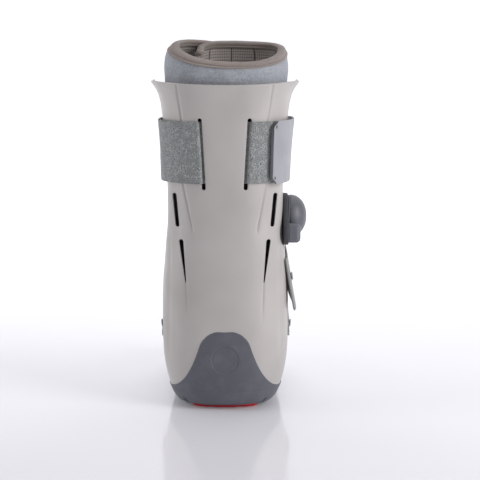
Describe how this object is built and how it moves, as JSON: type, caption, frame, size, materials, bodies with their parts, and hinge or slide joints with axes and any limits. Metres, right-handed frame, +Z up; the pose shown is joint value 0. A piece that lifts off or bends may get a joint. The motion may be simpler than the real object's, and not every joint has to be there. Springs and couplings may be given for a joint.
{
  "type": "medical walking boot",
  "caption": "Tall medical walking boot: moulded rear shell with calf slots, padded wrap liner, straps, rocker sole and hand bulb with selector dial.",
  "frame": {"origin": "on the outer sole's flat bottom, on the floor under the leg's axis", "axes": "+Z up along the leg, +Y towards the toe, +X to the right of the boot seen from behind"},
  "size_m": [0.1825, 0.3014, 0.4241],
  "materials": {
    "shell_plastic": "satin moulded",
    "sole_rubber": "matt moulded",
    "heel_pad_rubber": "matt moulded",
    "liner_fabric": "brushed loop cloth over foam",
    "binding_fabric": "stretch binding tape",
    "loop_strap": "loop pile",
    "hook_tab": "smooth tape",
    "ankle_webbing": "woven tape",
    "rivet_plastic": "satin",
    "inflator_rubber": "satin",
    "dial_plastic": "satin"
  },
  "bodies": {
    "boot": {"rear_shell": "shell_plastic", "front_shell": "shell_plastic", "outsole": "sole_rubber", "heel_pad": "heel_pad_rubber", "liner": "liner_fabric", "liner_binding_top": "binding_fabric", "liner_binding_toe": "binding_fabric", "calf_strap": "loop_strap", "calf_strap_tab": "hook_tab", "ankle_strap": "ankle_webbing", "ankle_rivet": "rivet_plastic", "foot_strap": "loop_strap", "foot_rivet_right": "rivet_plastic", "foot_rivet_left": "rivet_plastic", "inflator_base": "inflator_rubber", "inflator_bulb": "inflator_rubber"},
    "dial": {"selector_dial": "dial_plastic"}
  },
  "joints": [
    {"name": "dial_turn", "type": "hinge", "parent": "boot", "child": "dial", "pos_m": [0.0739, -0.022, 0.20196], "axis": [1, 0, 0], "range_deg": [0, 270]}
  ]
}
